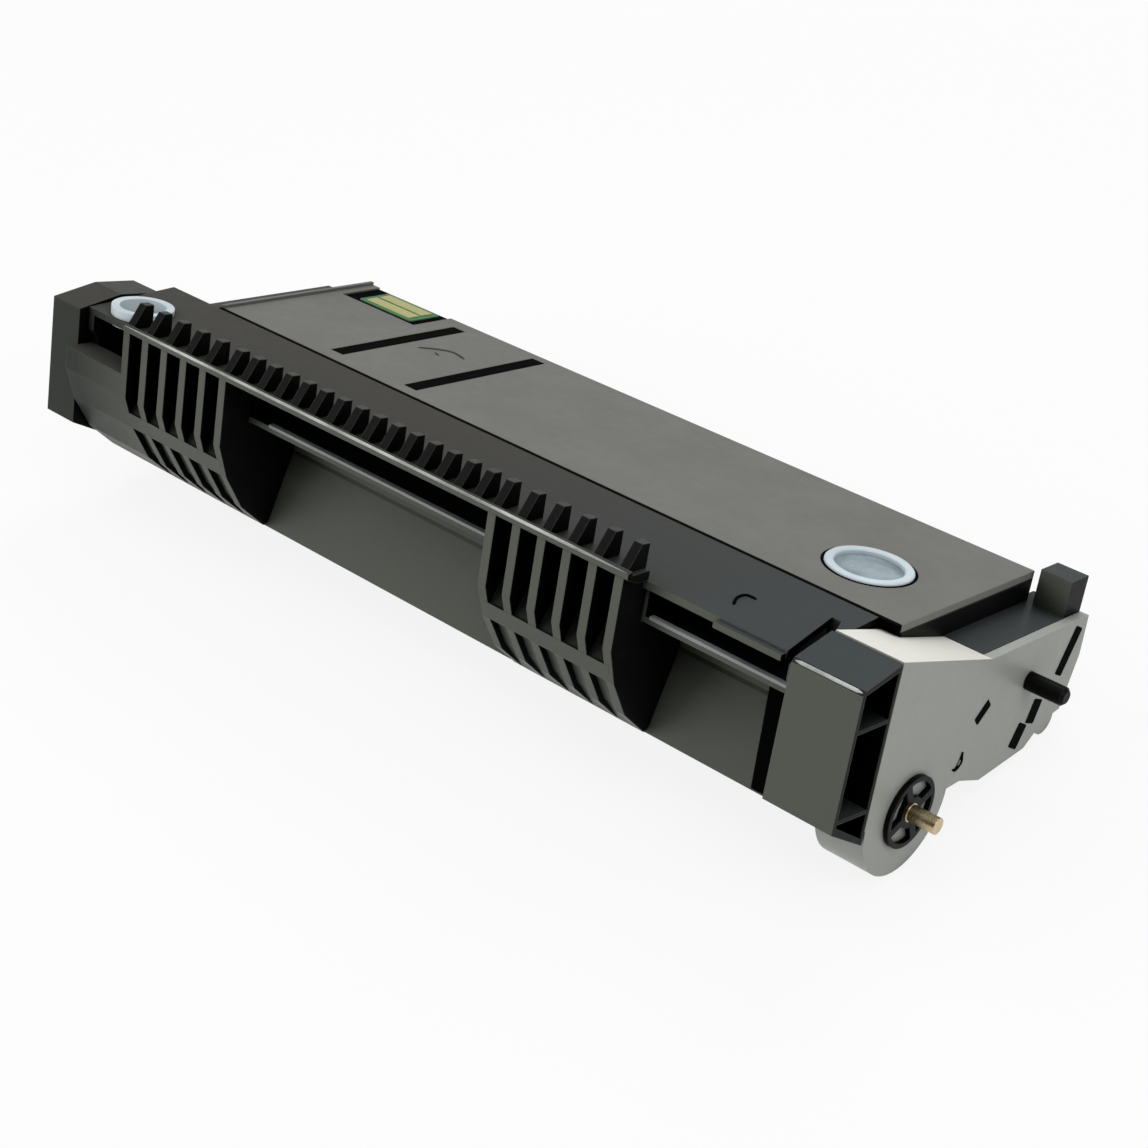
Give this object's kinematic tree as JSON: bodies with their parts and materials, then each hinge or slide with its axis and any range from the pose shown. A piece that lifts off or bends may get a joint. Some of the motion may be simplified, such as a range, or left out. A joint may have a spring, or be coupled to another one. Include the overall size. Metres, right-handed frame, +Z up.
{
  "type": "toner cartridge",
  "caption": "Long black toner cartridge with a ribbed front grip, light end plate, hopper with a fill cap and a geared drum and roller train.",
  "frame": {"origin": "bottom centre of the whole cartridge's box, on the surface it rests on", "axes": "+X along the rollers towards the light end plate, +Y from the grip to the rear of the hopper, +Z up"},
  "size_m": [0.3068, 0.112, 0.0756],
  "materials": {
    "matte_black_plastic": "matte moulded, slightly dusty",
    "grained_black_plastic": "matte with a fine grain",
    "black_plastic": "satin",
    "satin_light_plastic": "satin grey-green",
    "white_plastic": "satin white",
    "white_gear_plastic": "acetal",
    "green_board": "solder mask",
    "gold_pads": "plated",
    "brass_shaft": "turned",
    "drum_coating": "smooth blue-green coating",
    "bright_steel": "turned",
    "zinc_steel": "zinc plated sheet",
    "roller_rubber": "ground rubber",
    "blade_rubber": "clear amber rubber",
    "foam_roller": "open foam",
    "foam_seal": "foam strip",
    "clear_film": "thin film"
  },
  "bodies": {
    "housing": {"right_end_cover": "satin_light_plastic", "shaft_bushing": "black_plastic", "drum_shaft": "brass_shaft", "drum_frame": "matte_black_plastic", "front_grip": "matte_black_plastic", "left_end_cover": "matte_black_plastic", "hopper_body": "matte_black_plastic", "hopper_lid": "grained_black_plastic", "lid_gasket": "foam_seal", "toner_fill_plug": "white_plastic", "waste_port_plug": "white_plastic", "chip_board": "green_board", "chip_pads": "gold_pads", "charge_roller_holders": "white_gear_plastic", "charge_springs": "bright_steel", "cleaning_blade_bracket": "zinc_steel", "cleaning_blade": "blade_rubber", "hopper_bushings": "black_plastic", "doctor_blade_bracket": "zinc_steel", "doctor_blade": "bright_steel", "developer_seal_film": "clear_film", "developer_contact": "bright_steel", "charge_contact": "bright_steel", "cover_screw": "satin_light_plastic", "guide_pin": "black_plastic"},
    "drum": {"drum_tube": "drum_coating", "drum_gear_flange": "white_gear_plastic", "drum_end_flange": "white_gear_plastic"},
    "charge_roller": {"charge_roller_core": "bright_steel", "charge_roller_rubber": "roller_rubber"},
    "developer_roller": {"developer_roller_core": "bright_steel", "developer_roller_sleeve": "roller_rubber", "developer_gear": "white_gear_plastic"},
    "idler": {"compound_idler": "white_gear_plastic"},
    "supply_roller": {"supply_roller_core": "bright_steel", "supply_roller_foam": "foam_roller", "supply_gear": "white_gear_plastic"},
    "agitator_drive": {"agitator_idler": "white_gear_plastic"},
    "agitator": {"agitator_shaft": "white_gear_plastic", "agitator_film": "clear_film", "agitator_gear": "white_gear_plastic"}
  },
  "joints": [
    {"name": "drum_turn", "type": "hinge", "parent": "housing", "child": "drum", "pos_m": [0, -0.02624, 0.01797], "axis": [1, 0, 0], "continuous": true},
    {"name": "charge_roller_turn", "type": "hinge", "parent": "housing", "child": "charge_roller", "pos_m": [0, -0.02187, 0.03393], "axis": [1, 0, 0], "continuous": true},
    {"name": "developer_turn", "type": "hinge", "parent": "housing", "child": "developer_roller", "pos_m": [0, -0.00626, 0.01891], "axis": [1, 0, 0], "continuous": true},
    {"name": "idler_turn", "type": "hinge", "parent": "housing", "child": "idler", "pos_m": [0, 0.00697, 0.02926], "axis": [1, 0, 0], "continuous": true},
    {"name": "supply_turn", "type": "hinge", "parent": "housing", "child": "supply_roller", "pos_m": [0, 0.00815, 0.01732], "axis": [1, 0, 0], "continuous": true},
    {"name": "agitator_drive_turn", "type": "hinge", "parent": "housing", "child": "agitator_drive", "pos_m": [0, 0.01734, 0.03004], "axis": [1, 0, 0], "continuous": true},
    {"name": "agitator_turn", "type": "hinge", "parent": "housing", "child": "agitator", "pos_m": [0, 0.02783, 0.01904], "axis": [1, 0, 0], "continuous": true}
  ],
  "couplings": [
    {"joint": "charge_roller_turn", "follows": "drum_turn", "ratio": -2.8235},
    {"joint": "developer_turn", "follows": "drum_turn", "ratio": -1.5},
    {"joint": "idler_turn", "follows": "drum_turn", "ratio": 1.3636},
    {"joint": "supply_turn", "follows": "drum_turn", "ratio": -1.1932},
    {"joint": "agitator_drive_turn", "follows": "drum_turn", "ratio": -1.5909},
    {"joint": "agitator_turn", "follows": "drum_turn", "ratio": 0.73427}
  ]
}
